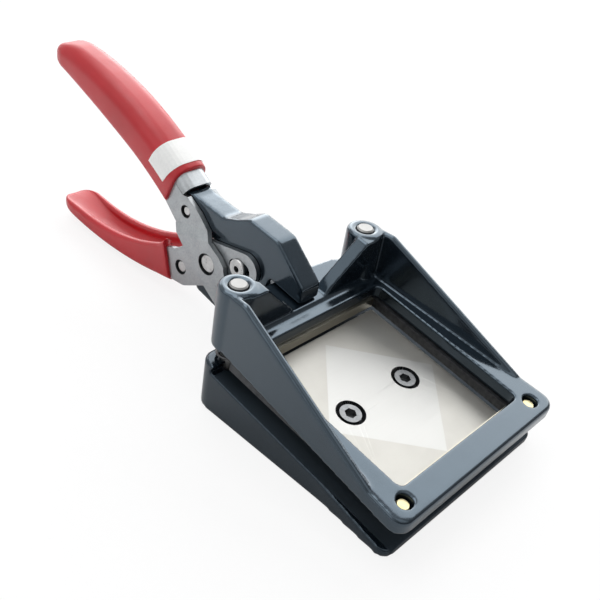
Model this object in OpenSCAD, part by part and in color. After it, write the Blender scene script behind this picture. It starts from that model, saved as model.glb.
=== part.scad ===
// Plier-type photo cutter. A wedge base carries a square punch, a die frame slides on two
// upright posts, and squeezing the handles pulls a press arm down on the frame's shelf.
// [u, v, w] are places in the die plane's frame, which rises to the rear by the wedge angle.
// [y, z] are places in the upright middle plane of the handles.

/* [Cutting die] */
// Side of the square picture that is cut out
cut_size = 50; // [44:1:56]
// Gap on each side between the punch and the die
cut_gap = 0.05; // [0.02:0.01:0.1]
// Ledge of the die plate that shows inside the frame's window
die_ledge = 1; // [0.8:0.1:2]
// Width of the die plate beside its opening
die_land = 5.4; // [5.2:0.1:5.6]
// Width of the die plate in front of and behind its opening
die_end = 6.4; // [6:0.1:7]
// Thickness of the die plate
die_t = 2.8; // [2.2:0.1:3.4]
// Height of the picture slot between the die and the punch, handles open
slot_h = 1.1; // [0.6:0.1:1.6]
// How far the die passes down over the punch
pass_h = 3.1; // [2:0.1:3.6]
// Height of the punch above its seat in the base
punch_h = 4.9; // [4.5:0.1:6]

/* [Die frame] */
// Lip in front of the window
lip_front = 8.2; // [7.5:0.1:10]
// Lip beside the window, at its front corners
lip_side = 8.8; // [8:0.1:10]
// Thickness of the lip
lip_t = 4.2; // [3.6:0.1:5]
// Radius of the lip's front corners
lip_r = 4.2; // [3.5:0.1:5]
// Inward slope of the lip's outer face
lip_draft = 0.2; // [0.1:0.1:0.6]
// Radius of the lip's rounded upper edge
lip_round = 1; // [0.5:0.1:1.5]
// Radius of the window's corners
window_r = 2; // [1:0.1:3]
// Distance from the lip's front edge to the toe of each gusset
gusset_toe = 13; // [10:0.5:16]
// Thickness of a gusset along its top
gusset_t = 2.4; // [2.2:0.1:3.2]
// Height of a gusset's top where it meets its boss
gusset_h = 14.5; // [12:0.1:14.6]
// Height of a gusset's top at its knee, where it levels off towards the boss
knee_h = 15.2; // [14.6:0.1:15.4]
// Distance from a gusset's knee to its end at the boss
knee_back = 4.5; // [3.5:0.1:6]
// Flat land between the window and the fillet of the rear wall
rear_land = 2.4; // [1.5:0.1:4]
// Radius of the fillet at the foot of the rear wall
foot_r = 2.1; // [1.5:0.1:3]
// Distance from the front of the rear wall to the seat of the arm's nose
seat_back = 1.7; // [1:0.1:2.5]
// Thickness of the rear wall
rear_t = 4.3; // [3.5:0.1:5]
// Height of the rear wall above the rim
rear_h = 14.4; // [13:0.1:15]
// Width of the rear wall's notch at its bottom
notch_w = 13; // [11:0.5:14]
// Height of the shelf above the rim
shelf_h = 1; // [0.5:0.1:2]
// Depth of the shelf behind the seat of the arm's nose
shelf_l = 10; // [8:0.5:11]

/* [Guide posts and springs] */
// Diameter of a guide post
post_d = 5; // [4:0.1:5.4]
// Distance of a post's axis inside the window's edge
post_in = 0.7; // [0:0.1:2]
// Distance of a post's axis behind the seat of the arm's nose
post_back = 2.3; // [2:0.1:3]
// Diameter of a boss
boss_d = 10.8; // [10.4:0.1:11.2]
// Height of a boss above the shelf
boss_h = 13.8; // [13:0.1:15]
// Radius of a boss's rounded top edge
boss_round = 1; // [0.4:0.1:1.4]
// Height of a post's top above its boss
post_proud = 0.3; // [0.1:0.1:1]
// Radial gap of the sliding and turning fits
run_gap = 0.03; // [0.02:0.01:0.08]
// Radial gap of the pieces that are pressed or screwed together
seat_gap = 0.02; // [0.01:0.01:0.05]
// Diameter of the spring wire
wire_d = 0.9; // [0.7:0.1:1]
// Middle diameter of the spring coil
coil_d = 7; // [6.8:0.1:7.2]
// Turns of a spring
coil_turns = 6; // [5:1:7]
// Depth of the spring's pocket in the boss
pocket_h = 10.5; // [9:0.5:12]

/* [Base] */
// Slope of the die plane
wedge = 8; // [6:0.5:10]
// Thickness of the base at its front edge
base_toe = 1.9; // [1.4:0.1:3]
// Rise of the base's top per millimetre towards the rear, measured from the die plane
table_rise = 0.02; // [0.01:0.005:0.025]
// Depth of the punch's seat at its front edge
seat_d = 0.3; // [0.2:0.1:0.8]
// Base beside the window at its front corners
base_side = 7.9; // [7:0.1:8.5]
// Draw-in of the base's flanks from the front corners
base_waist = 1.9; // [1:0.1:2.5]
// Base in front of the window
base_front = 4.8; // [4.6:0.1:6]
// Base behind the seat of the arm's nose
base_back = 7.3; // [6.5:0.1:8]
// Room left under the frame when the handles are closed
stop_gap = 0.5; // [0.4:0.1:1]

/* [Linkage] */
// Width of the press arm
arm_w = 7.5; // [6.5:0.1:8]
// Thickness of the pressed plates
plate_t = 1.5; // [1.2:0.1:1.8]
// Side play between the arm, the plates and the tail
side_play = 0.2; // [0.1:0.05:0.4]
// Main pivot: distance behind the notch
main_back = 33.05; // [32:0.25:34]
// Main pivot: distance below the shelf
main_drop = 3.97; // [3.5:0.1:4.5]
// Arm pivot: distance behind the notch
arm_back = 45.65; // [45:0.1:46.5]
// Arm pivot: height above the shelf
arm_rise = 7.23; // [6.5:0.1:7.7]
// Link pin: distance behind the notch
link_back = 21.55; // [21:0.1:22]
// Link pin: height above the shelf
link_rise = 0.4; // [0:0.1:0.8]
// Tail rivet: distance behind the notch
tail_back = 19.75; // [19:0.25:21]
// Tail rivet: distance below the shelf
tail_drop = 14.57; // [14:0.1:15]
// Diameter of the main pivot
main_d = 5; // [4.5:0.1:5.5]
// Diameter of the arm pivot
arm_d = 2.2; // [1.8:0.1:3]
// Diameter of the link pin
link_d = 4; // [3.5:0.1:4.2]
// Diameter of the bore through the link pin
link_bore = 2; // [1.5:0.1:2.6]
// Diameter of the tail rivet
tail_d = 4; // [3.5:0.1:5]
// Travel of the lower handle, in degrees
squeeze = 11; // [10:0.5:12]
// Turn of the press arm over that travel, in degrees
arm_turn = 5.25; // [4.8:0.05:5.6]

/* [Handles] */
// Upper grip: distance of its mouth behind the arm pivot
mouth_back = 7.6; // [7:0.1:8.4]
// Upper grip: height of its mouth's middle above the arm pivot
mouth_rise = 5.8; // [5.4:0.1:6.2]
// Slope of the upper handle at the grip's mouth, in degrees
mouth_tilt = 32.5; // [31:0.5:34]
// Radius of the bow of the upper handle
bow_r = 114; // [108:1:120]
// Length of the upper grip
grip_l = 65.5; // [60:0.5:70]
// Depth of the channel's legs below the middle of its back
leg_h = 5.2; // [4.6:0.1:5.6]
// Radius of the channel's bends
bend_r = 3.2; // [2.5:0.1:3.8]
// Thickness of the grips' coat
coat_t = 1.2; // [1:0.1:1.5]
// Thickness of the label
label_t = 0.2; // [0.15:0.05:0.3]
// Distance from the upper grip's mouth to the label
label_gap = 1.8; // [1.2:0.2:5]
// Width of the label
label_w = 8; // [6:0.2:10]
// Lower handle's rivet: distance behind the main pivot
cross_back = 12.8; // [12.4:0.1:13.2]
// Lower handle's rivet: distance below the main pivot
cross_drop = 8.7; // [8.2:0.1:9.2]
// Diameter of that rivet
cross_d = 3; // [2.6:0.1:3.2]
// Outer diameter of the spacer tube on that rivet
spacer_d = 6; // [5.5:0.1:6.4]
// Lower grip: distance of its lowest point behind the main pivot
low_back = 50.2; // [48:0.2:52]
// Lower grip: distance of its lowest point below the main pivot
low_drop = 20; // [19.4:0.1:20.4]
// Radius of the bow of the lower grip's underside
low_bow = 131; // [120:1:140]
// Lower grip: height at its lowest point
low_h = 6.2; // [5.8:0.1:7]
// Radius of the bow of the lower grip's upper edges
ridge_bow = 78; // [74:1:84]
// Lower grip: distance of its mouth behind the main pivot
low_mouth = 18.4; // [17.6:0.2:19.6]
// Lower grip: distance of its tip behind the main pivot
low_tip = 77.2; // [73.2:0.4:79.2]

/* [Hidden] */
$fn = 64;
black = "#20242a";
steel = "#b4b7ba";
bright = "#dcdcd8";
red = "#cc2630";
zinc = "#d6c27a";
white = "#f4f3ef";
// Overrun of cutting bodies past the faces that they open
past = 1;
// Offset that keeps the faces of fused bodies out of one plane
hair = 0.1;

// Die plane
window = cut_size + 2*die_ledge;
win = window/2;
die_top = -lip_t;
die_low = die_top - die_t;
punch_top = die_low - slot_h;
punch_seat = punch_top - punch_h;
stroke = (slot_h + pass_h)/cos(wedge);
front_v = win + lip_front;
wall_v = win + rear_land + foot_r;
nose_v = wall_v + seat_back;
function table_w(v) = punch_seat + seat_d + (v + cut_size/2)*table_rise;
rim_h = base_toe + front_v*sin(wedge) - table_w(-front_v)*cos(wedge);
// Side-plane place [y, z] of the die-plane place [v, w]
function side(v, w) = [v*cos(wedge) - w*sin(wedge), v*sin(wedge) + w*cos(wedge) + rim_h];
// Middle of the die's upright opening
cut_y = side(0, (die_top + die_low)/2).x;
cut_l = cut_size*cos(wedge);

// Pivots, from the bottom of the notch
notch = side(nose_v, shelf_h);
main_at = notch + [main_back, -main_drop];
arm_at = notch + [arm_back, arm_rise];
link_at = notch + [link_back, link_rise];
tail_at = notch + [tail_back, -tail_drop];
cross_at = main_at + [cross_back, -cross_drop];

// Posts
post_x = win - post_in;
post_y = notch.x + post_back;
boss_top = notch.y + boss_h;
boss_low = side(nose_v, die_top).y;
stand_z = boss_low - stroke - stop_gap;
base_y = notch.x + base_back;
spigot_d = 0.7*post_d;
spigot_l = 6;
// Room for a spring, in the bosses and round the die plate's rear corners
pocket_d = coil_d + wire_d + 0.8;
bay_r = pocket_d/2 + 0.4;
// Place of the posts in the die plate's own plane
post_v = (post_y + (die_top + die_low)/2*sin(wedge))/cos(wedge);

// Layers from the middle plane outwards
in_x = arm_w/2 + side_play;
out_x = in_x + plate_t;
wide_in = out_x + side_play;
wide_out = wide_in + plate_t;
// Rivet heads, and the dishes that they sit in
main_head_r = main_d/2 + 0.25;
arm_head_r = arm_d/2 + 0.25;
cross_head_r = cross_d/2 + 0.25;
head_h = 0.5;
dish_d = 1;
dish_gap = 0.7;

// Upper handle
mouth = arm_at + [mouth_back, mouth_rise];
bow_at = mouth - bow_r*[-sin(mouth_tilt), cos(mouth_tilt)];
grip_x = out_x + coat_t;
function grip_turn(s) = 90 + mouth_tilt - s/bow_r*180/PI;
function along(t, b) = mouth + t*[cos(mouth_tilt), sin(mouth_tilt)]
    + b*[-sin(mouth_tilt), cos(mouth_tilt)];

// Lower handle
low_at = main_at + [low_back, -low_drop];
low_centre = low_at + [0, low_bow];
ridge_at = low_at + [9, low_h - 0.3];
function low_z(y) = low_centre.y - sqrt(pow(low_bow, 2) - pow(y - low_centre.x, 2));
function ridge_z(y) = ridge_at.y + ridge_bow - sqrt(pow(ridge_bow, 2) - pow(y - ridge_at.x, 2));

// Turn of a side-plane place about a pivot
function turned(p, c, a) = c + [(p - c)*[cos(a), -sin(a)], (p - c)*[sin(a), cos(a)]];
// Where the closed arm holds the link pin, and the same seen from the lower handle
link_low = turned(link_at, arm_at, arm_turn);
link_end = turned(link_low, main_at, -squeeze);
link_way = link_end - link_at;
link_dir = link_way/norm(link_way);

// Corner of an outline, rounded to a radius
function corner(a, p, b, r, n) = let(
    e = (a - p)/norm(a - p), f = (b - p)/norm(b - p),
    half = acos(e*f)/2,
    c = p + (e + f)/norm(e + f)*r/sin(half),
    s = p + e*r/tan(half) - c,
    g = p + f*r/tan(half) - c,
    from = atan2(s.y, s.x),
    sweep = (atan2(g.y, g.x) - from + 540) % 360 - 180)
    [for (i = [0:n]) c + r*[cos(from + sweep*i/n), sin(from + sweep*i/n)]];
// Outline from [place, corner radius] pairs
function rounded(q, n = 6) = [for (i = [0:len(q) - 1])
    each q[i][1] == 0 ? [q[i][0]]
        : corner(q[(i + len(q) - 1) % len(q)][0], q[i][0], q[(i + 1) % len(q)][0], q[i][1], n)];
// Points of an arc from one angle to another
function arc(c, r, from, to, n) = [for (i = [0:n])
    let(a = from + (to - from)*i/n) c + r*[cos(a), sin(a)]];

// Angles at which a belt round two [centre, radius] discs leaves them, on its right and left
function belt(p, q) = let(
    d = q[0] - p[0],
    a = atan2(d.y, d.x),
    b = acos((p[1] - q[1])/norm(d)))
    [a - b, a + b];
// Way of a belt round one disc: along it outside a bend, straight past it inside
function belt_turn(p, from, to, outside) = outside ? arc(p[0], p[1], from, to, 8)
    : [p[0] + p[1]/cos((to - from)/2)*[cos((from + to)/2), sin((from + to)/2)]];
// Outline of a belt round a row of [centre, radius] discs
function belted(q) = let(
    m = len(q) - 1,
    b = [for (i = [0:m - 1]) belt(q[i], q[i + 1])])
    concat(
        [for (i = [1:1:m - 1]) each belt_turn(q[i], b[i - 1][0], b[i][0], b[i][0] > b[i - 1][0])],
        arc(q[m][0], q[m][1], b[m - 1][0], b[m - 1][1], 16),
        [for (i = [m - 1:-1:1]) each belt_turn(q[i], b[i][1], b[i - 1][1], b[i][1] < b[i - 1][1])],
        arc(q[0][0], q[0][1], b[0][1], b[0][0] + 360, 16));

// Places its children in the die plane's frame
module die() {
    translate([0, 0, rim_h]) rotate([wedge, 0, 0]) children();
}
// Draws its children on the left and on the right
module both() {
    children();
    mirror([1, 0, 0]) children();
}
// Raises a side-plane outline from one x to another
module slab(x0, x1) {
    translate([x0, 0, 0]) rotate([90, 0, 90]) linear_extrude(x1 - x0) children();
}
// Sweeps a [radius, x] profile about a side-plane centre
module bow(c, from, to) {
    translate([0, c.x, c.y]) rotate([90, 0, 90]) rotate([0, 0, from])
        rotate_extrude(angle = to - from, $fn = 180) children();
}
// Round bar across the handles at a side-plane place
module bar(c, r, x0, x1) {
    translate([x0, c.x, c.y]) rotate([0, 90, 0]) cylinder(h = x1 - x0, r = r);
}
module disc(c, r) {
    translate(c) circle(r);
}
// Skin through closed rings of points, with flat ends
module loft(rings) {
    m = len(rings[0]);
    last = len(rings) - 1;
    sides = [for (i = [0:last - 1], j = [0:m - 1])
        let(k = (j + 1) % m)
        each [[i*m + j, i*m + k, (i + 1)*m + k], [i*m + j, (i + 1)*m + k, (i + 1)*m + j]]];
    polyhedron([for (r = rings) each r],
        concat([[for (j = [m - 1:-1:0]) j]], sides, [[for (j = [0:m - 1]) last*m + j]]));
}
// Rivet head on the right of x, domed by its rise
module rivet_head(c, x, r, h) {
    translate([x, c.x, c.y]) rotate([0, 90, 0]) rotate_extrude()
        polygon(concat([[0, 0], [r, 0]], arc([r - h/2, h/2], h/2, 0, 90, 5), [[0, h]]));
}
// Rivet across the middle plane with a head on each side
module rivet(c, d, x, head_r, head_h) {
    bar(c, d/2, -x - head_h/4, x + head_h/4);
    both() rivet_head(c, x, head_r, head_h);
}
// Dish in both outer faces of the plates, in which a rivet's heads sit
module dish(c, x, head_r) {
    both() bar(c, head_r + dish_gap, x - dish_d, x + plate_t);
}

// Base
flank = win + base_side;
waist = flank - base_waist;
base_plan = rounded([[[flank, -win - base_front], 3], [[waist, -win/4], 60],
    [[waist, base_y], 4.5], [[-waist, base_y], 4.5],
    [[-waist, -win/4], 60], [[-flank, -win - base_front], 3]]);
base_side_view = [side(-front_v - 4, 0) - [0, rim_h], [base_y + past, 0], [base_y + past, stand_z],
    [notch.x + 1.2, stand_z], side(nose_v + 1, table_w(nose_v + 1)),
    side(-front_v - 4, table_w(-front_v - 4))];
// Tail: a wide block for the tail rivet and a narrow lug for the main pivot
tail_end = [main_at.x + 8, main_at.y - 13.5];
tail_top = main_at.y + 4.3;
tail_step = tail_at + [5.6, 5.5];
tail_wide = rounded([[[base_y - 4, 0.5], 0], [[base_y, 0.5], 3], [tail_step - [0, 7.6], 1],
    [tail_step, 1.5], [[base_y - 4, tail_step.y], 0]]);
tail_lug = rounded([[[base_y - 4, 0.5], 0], [[base_y, 0.5], 3], [tail_end - [0.5, 0.4], 2],
    [[tail_end.x - 1, tail_top], 3.5], [[main_at.x - 3.4, tail_top], 3],
    [tail_step + [0.4, 0], 3], [[base_y - 4, tail_step.y], 0]]);
// Screws of the punch and of the die plate
punch_screw_u = 11.8;
punch_screw_d = 4;
punch_head_d = 6.2;
punch_sink_d = 8.4;
punch_head_h = 2.8;
punch_screw_l = 4.4;
sink_gap = 0.2;
die_screw_d = 3;
die_head_d = 5;
die_head_h = 1.6;
die_pin_d = 3.6;
die_sink = 3;
die_screw_u = win + 2.2;
die_screw_v = win + 3;
rear_screw_u = win - 8;
rear_screw_v = win + 2.4;

module base_casting() {
    color(black) difference() {
        union() {
            intersection() {
                linear_extrude(2*rim_h) polygon(base_plan);
                slab(-2*win, 2*win) polygon(base_side_view);
            }
            slab(-wide_in + seat_gap, wide_in - seat_gap) polygon(tail_wide);
            slab(-arm_w/2 + seat_gap, arm_w/2 - seat_gap) polygon(tail_lug);
        }
        intersection() {
            punch_prism(seat_d/2);
            die() translate([-win, -win, punch_seat]) cube([window, window, 4*seat_d + punch_h]);
        }
        both() translate([post_x, post_y, stand_z - spigot_l])
            cylinder(h = spigot_l + past, d = spigot_d + 2*seat_gap);
        both() die() translate([punch_screw_u, 0, punch_seat - punch_screw_l])
            cylinder(h = punch_screw_l + past, d = punch_screw_d + 2*seat_gap);
        bar(main_at, main_d/2 + seat_gap, -wide_out, wide_out);
        bar(tail_at, tail_d/2 + seat_gap, -wide_out, wide_out);
    }
}

// Upright square column of the cut, smaller by a negative gap
module punch_prism(gap) {
    translate([-cut_size/2 - gap, cut_y - cut_l/2 - gap, 0])
        cube([cut_size + 2*gap, cut_l + 2*gap, 3*rim_h]);
}
module punch_block() {
    color(bright) difference() {
        intersection() {
            punch_prism(-cut_gap);
            die() translate([-win, -win, punch_seat]) cube([window, window, punch_h]);
        }
        both() die() translate([punch_screw_u, 0, punch_seat - past]) {
            cylinder(h = punch_h + 2*past, d = punch_screw_d + 2*seat_gap);
            translate([0, 0, punch_h + past - punch_head_h - sink_gap])
                cylinder(h = punch_head_h + past, d = punch_sink_d);
        }
    }
}
module punch_screws() {
    socket = 3;
    head_low = punch_top - punch_head_h - sink_gap;
    color("#2b2b2d") both() die() translate([punch_screw_u, 0, 0]) difference() {
        union() {
            translate([0, 0, head_low]) cylinder(h = punch_head_h, d = punch_head_d);
            translate([0, 0, punch_seat - punch_screw_l])
                cylinder(h = head_low - punch_seat + punch_screw_l + past/2, d = punch_screw_d);
        }
        translate([0, 0, head_low + punch_head_h/3])
            cylinder(h = punch_head_h, d = socket/cos(30), $fn = 6);
    }
}

module guide_post() {
    color(bright) translate([post_x, post_y, stand_z]) {
        cylinder(h = boss_top + post_proud - stand_z - 0.4, d = post_d);
        translate([0, 0, boss_top + post_proud - stand_z - 0.4])
            cylinder(h = 0.4, d1 = post_d, d2 = post_d - 0.8);
        translate([0, 0, 0.2 - spigot_l]) cylinder(h = spigot_l, d = spigot_d);
    }
}
module guide_post_left() {
    mirror([1, 0, 0]) guide_post();
}
module guide_post_right() {
    guide_post();
}

// Return spring: one tube along a helix, with straight ends
coil_low = stand_z + wire_d/2 + 0.05;
coil_high = boss_low + pocket_h - wire_d/2 - 0.05;
coil_steps = 8;
coil_n = coil_turns*coil_steps;
coil_pitch = (coil_high - coil_low)/coil_turns;
function coil(i) = [coil_d/2*cos(360*i/coil_steps), coil_d/2*sin(360*i/coil_steps),
    coil_low + coil_pitch*i/coil_steps];
coil_path = concat([coil(0) - [0, wire_d, 0]], [for (i = [0:coil_n]) coil(i)],
    [coil(coil_n) + [0, wire_d, 0]]);
coil_gap = min([for (i = [0:len(coil_path) - 1], j = [i + 4:1:len(coil_path) - 1])
    norm(coil_path[i] - coil_path[j])]) - wire_d;
function coil_ring(i) = let(
    c = coil_path[i],
    a = 360*min(max(i - 1, 0), coil_n)/coil_steps,
    e = [cos(a), sin(a), 0])
    [for (k = [0:5]) c + wire_d/2*(cos(60*k)*e + sin(60*k)*[0, 0, 1])];
module return_spring() {
    color(steel) translate([post_x, post_y, 0])
        loft([for (i = [0:len(coil_path) - 1]) coil_ring(i)]);
}
module return_spring_left() {
    echo(spring_gap_to_itself = coil_gap);
    translate([-2*post_x, 0, 0]) return_spring();
}
module return_spring_right() {
    return_spring();
}

// Die frame
lip_u = win + lip_side;
// Half-width of the frame's foot at the rear, tangent to the bosses
lip_rear_u = post_x + boss_d/2;
lip_rear_v = wall_v + rear_t;
lip_slope = (lip_u - lip_rear_u)/(lip_rear_v + front_v - 2*lip_r);
// Half-width of the frame's foot at a place along it
function foot_u(v) = lip_u - (v + front_v - lip_r)*lip_slope;
// Both gussets stand flush with the outer face of the lip
gusset_in = gusset_t/2 + lip_draft/2;
toe_v = gusset_toe - front_v;
boss_v = nose_v + post_back/2;
knee_v = boss_v - knee_back;
toe_step = 0.4;
module lip_disc(r) {
    rotate_extrude($fn = 32) polygon(concat([[0, -lip_t], [r, -lip_t]],
        arc([r - lip_draft - lip_round, -lip_round], lip_round, 0, 90, 4), [[0, 0]]));
}
module lip() {
    hull() {
        both() translate([lip_u - lip_r, lip_r - front_v, 0]) lip_disc(lip_r);
        both() translate([lip_rear_u - lip_r, lip_rear_v - lip_r, 0]) lip_disc(lip_r);
    }
}
// Upright rod with a round top, as high as one end of a gusset
module gusset_end(top) {
    translate([0, 0, top - gusset_t/2]) sphere(gusset_t/2, $fn = 24);
    translate([0, 0, -lip_t]) cylinder(h = lip_t + top - gusset_t/2, d = gusset_t, $fn = 24);
}
module gusset() {
    hull() {
        translate([foot_u(toe_v) - gusset_in, toe_v, 0]) gusset_end(toe_step);
        translate([foot_u(knee_v) - gusset_in, knee_v, 0]) gusset_end(knee_h);
        translate([foot_u(boss_v) - gusset_in, boss_v, 0]) gusset_end(gusset_h);
    }
}
// Rear wall, its foot fillet and the shelf, less the notch for the arm's nose
module rear_wall() {
    difference() {
        union() {
            translate([0, wall_v + rear_t, 0]) rotate([90, 0, 0]) linear_extrude(rear_t)
                translate([-post_x, -lip_t]) square([2*post_x, rear_h + lip_t]);
            slab(-post_x - 2, post_x + 2) difference() {
                translate([wall_v - foot_r, 0]) square([foot_r + past, foot_r]);
                translate([wall_v - foot_r, foot_r]) circle(foot_r);
            }
        }
        translate([0, wall_v + rear_t + past, 0]) rotate([90, 0, 0])
            linear_extrude(rear_t + foot_r + 2*past)
            polygon([[-notch_w/2, shelf_h], [notch_w/2, shelf_h],
                [notch_w/2 + rear_h, shelf_h + rear_h], [-notch_w/2 - rear_h, shelf_h + rear_h]]);
    }
}
module shelf() {
    shelf_u = post_x - 1.5;
    translate([0, 0, -lip_t]) linear_extrude(lip_t + shelf_h) polygon(rounded([
        [[-shelf_u, wall_v], 0], [[shelf_u, wall_v], 0], [[shelf_u, nose_v + shelf_l - 1.5], 3],
        [[notch_w/2 + 4, nose_v + shelf_l], 12], [[-notch_w/2 - 4, nose_v + shelf_l], 12],
        [[-shelf_u, nose_v + shelf_l - 1.5], 3]]));
}
module die_frame() {
    color(black) difference() {
        union() {
            die() {
                lip();
                both() gusset();
                rear_wall();
                shelf();
            }
            both() translate([post_x, post_y, boss_low]) rotate_extrude() polygon(concat(
                [[0, 0], [boss_d/2, 0]],
                arc([boss_d/2 - boss_round, boss_top - boss_low - boss_round], boss_round, 0, 90, 5),
                [[0, boss_top - boss_low]]));
        }
        die() translate([0, 0, -lip_t - past]) linear_extrude(lip_t + 2*past)
            polygon(rounded([[[-win, -win], window_r], [[win, -win], window_r],
                [[win, win], window_r], [[-win, win], window_r]]));
        both() translate([post_x, post_y, boss_low - past]) {
            cylinder(h = boss_top - boss_low + 2*past, d = post_d + 2*run_gap);
            cylinder(h = pocket_h + past, d = pocket_d);
        }
        both() translate([post_x, post_y, boss_top - 0.6])
            cylinder(h = 0.61, d1 = post_d + 2*run_gap, d2 = post_d + 1.2);
        both() die() translate([die_screw_u, -die_screw_v, -lip_t - past]) {
            cylinder(h = lip_t + 2*past, d = die_screw_d + 2*sink_gap);
            translate([0, 0, lip_t + past - die_sink])
                cylinder(h = die_sink + past, d = die_pin_d + 4*sink_gap);
        }
        both() die() translate([rear_screw_u, rear_screw_v, -lip_t - past])
            cylinder(h = lip_t + past - 0.7, d = die_screw_d + 2*seat_gap);
    }
}
module die_ring() {
    half_u = cut_size/2 + die_land;
    half_v = cut_size/2 + die_end;
    bay = arc([post_x, post_v], bay_r, 270, 180 + asin((post_v - half_v)/bay_r), 6);
    right = concat([[[half_u, -half_v], 3], [[half_u, post_v - bay_r], 1]], [for (q = bay) [q, 0]]);
    left = [for (i = [len(right) - 1:-1:0]) [[-right[i][0].x, right[i][0].y], right[i][1]]];
    color(steel) difference() {
        die() translate([0, 0, die_low]) linear_extrude(die_t) polygon(rounded(concat(right, left)));
        punch_prism(0);
        both() die() translate([die_screw_u, -die_screw_v, die_low - past])
            cylinder(h = die_t + 2*past, d = die_screw_d + 2*seat_gap);
        both() die() translate([rear_screw_u, rear_screw_v, die_low - past]) {
            cylinder(h = die_t + 2*past, d = die_screw_d + 2*seat_gap);
            cylinder(h = past + 0.01, d = die_head_d + 2*sink_gap);
            translate([0, 0, past])
                cylinder(h = die_head_h, d1 = die_head_d + 2*sink_gap,
                    d2 = die_screw_d + 2*sink_gap);
        }
    }
}
module die_pins_front() {
    head_low = -die_sink;
    edge = 0.3;
    color(zinc) both() die() translate([die_screw_u, -die_screw_v, 0]) {
        translate([0, 0, head_low]) cylinder(h = die_head_h - edge, d = die_pin_d);
        translate([0, 0, head_low + die_head_h - edge])
            cylinder(h = edge, d1 = die_pin_d, d2 = die_pin_d - 2*edge);
        translate([0, 0, die_low + 0.1]) cylinder(h = head_low - die_low + 0.4, d = die_screw_d);
    }
}
module die_screws_rear() {
    slot_w = 0.8;
    color(steel) both() die() translate([rear_screw_u, rear_screw_v, die_low]) difference() {
        union() {
            translate([0, 0, 0.1])
                cylinder(h = die_head_h, d1 = die_head_d, d2 = die_screw_d - 2*seat_gap);
            translate([0, 0, 0.3]) cylinder(h = die_t + lip_t - 1.4, d = die_screw_d);
        }
        translate([-die_head_d/3, -slot_w/2, -past]) cube([2*die_head_d/3, slot_w, past + 0.8]);
    }
}

// Upper handle: a channel with a round back, joggled side plates and the label
channel_front = 5.4;
// Lap of the channel's straight front into its bow
channel_lap = 0.4;
channel_l = 0.52*grip_l;
ear_front = along(-13.3, 4);
// Way from the inner to the outer run of a side plate, along its edges
joggle_step = [-2.3, -1.9];
joggle_front = main_at + [2.4, 9.3];
joggle_rear = main_at + [16.4, 5.9];
// Channel section as [x, b] points, opening downwards
function channel(x, top, r, low) = rounded([[[x, low], 0], [[x, top], r], [[-x, top], r],
    [[-x, low], 0]], 8);
module channel_2d(inset = 0) {
    difference() {
        polygon(channel(out_x - inset, out_x - inset, bend_r - inset, inset - leg_h));
        polygon(channel(in_x + inset, in_x + inset, bend_r - plate_t + inset, -leg_h - past));
    }
}
// The same section as a [radius, x] profile for the bow
module channel_bow() {
    translate([bow_r, 0]) rotate(-90) channel_2d();
}
inner_plate = [along(-channel_front, out_x - bend_r), along(-channel_front - 1.7, 3.6), ear_front,
    joggle_front, joggle_rear, along(1, -leg_h - 0.6), along(3, -leg_h), along(3, out_x - bend_r)];
// Outer run of a side plate, from the joggle round the main pivot to the tail rivet
plate_r = 6.7;
tail_r = 5;
tail_turn = belt([tail_at, tail_r], [main_at, plate_r]);
outer_plate = concat([joggle_front + joggle_step],
    [main_at + plate_r*[cos(tail_turn[1]), sin(tail_turn[1])]],
    arc(tail_at, tail_r, tail_turn[1], tail_turn[0] + 360, 16),
    arc(main_at, plate_r, tail_turn[0], -43, 4), [joggle_rear + joggle_step]);
module upper_handle() {
    color(steel) difference() {
        union() {
            bow(bow_at, grip_turn(channel_l), grip_turn(0)) channel_bow();
            translate([0, mouth.x, mouth.y]) rotate([90 + mouth_tilt, 0, 0])
                translate([0, 0, -channel_lap])
                linear_extrude(channel_front + channel_lap) channel_2d(hair);
            both() {
                slab(in_x, out_x) polygon(inner_plate);
                slab(wide_in, wide_out) polygon(outer_plate);
                joggle();
            }
        }
        bar(main_at, main_d/2 + seat_gap, -2*wide_out, 2*wide_out);
        bar(tail_at, tail_d/2 + seat_gap, -2*wide_out, 2*wide_out);
        bar(arm_at, arm_d/2 + seat_gap, -2*wide_out, 2*wide_out);
        dish(main_at, wide_out, main_head_r);
        dish(arm_at, out_x, arm_head_r);
        both() bar(link_low, link_head_r + link_room, wide_in - side_play/2, 2*wide_out);
    }
}
// Step between the inner and the outer run of a side plate
module joggle() {
    d = joggle_rear - joggle_front;
    h = -joggle_step*[-d.y, d.x]/norm(d);
    lap = 0.15;
    intersection() {
        translate([0, joggle_front.x, joggle_front.y]) rotate([atan2(d.y, d.x), 0, 0])
            translate([0, 2*norm(d), 0]) rotate([90, 0, 0]) linear_extrude(3*norm(d))
            polygon([[in_x + hair, 0.3], [out_x, 0.3], [wide_out, -h],
                [wide_out, -h - 0.3], [wide_in + hair, -h - 0.3], [in_x + hair, -0.2]]);
        slab(0, 2*wide_out) polygon([joggle_front - lap*joggle_step, joggle_front + (1 + lap)*joggle_step,
            joggle_rear + (1 + lap)*joggle_step, joggle_rear, joggle_rear + [-0.8, 0.6]]);
    }
}

// Upper grip: rings across the bow, deep along most of it and rising to a rounded tip
grip_low = -leg_h - coat_t;
taper_s = 0.36*grip_l;
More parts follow.
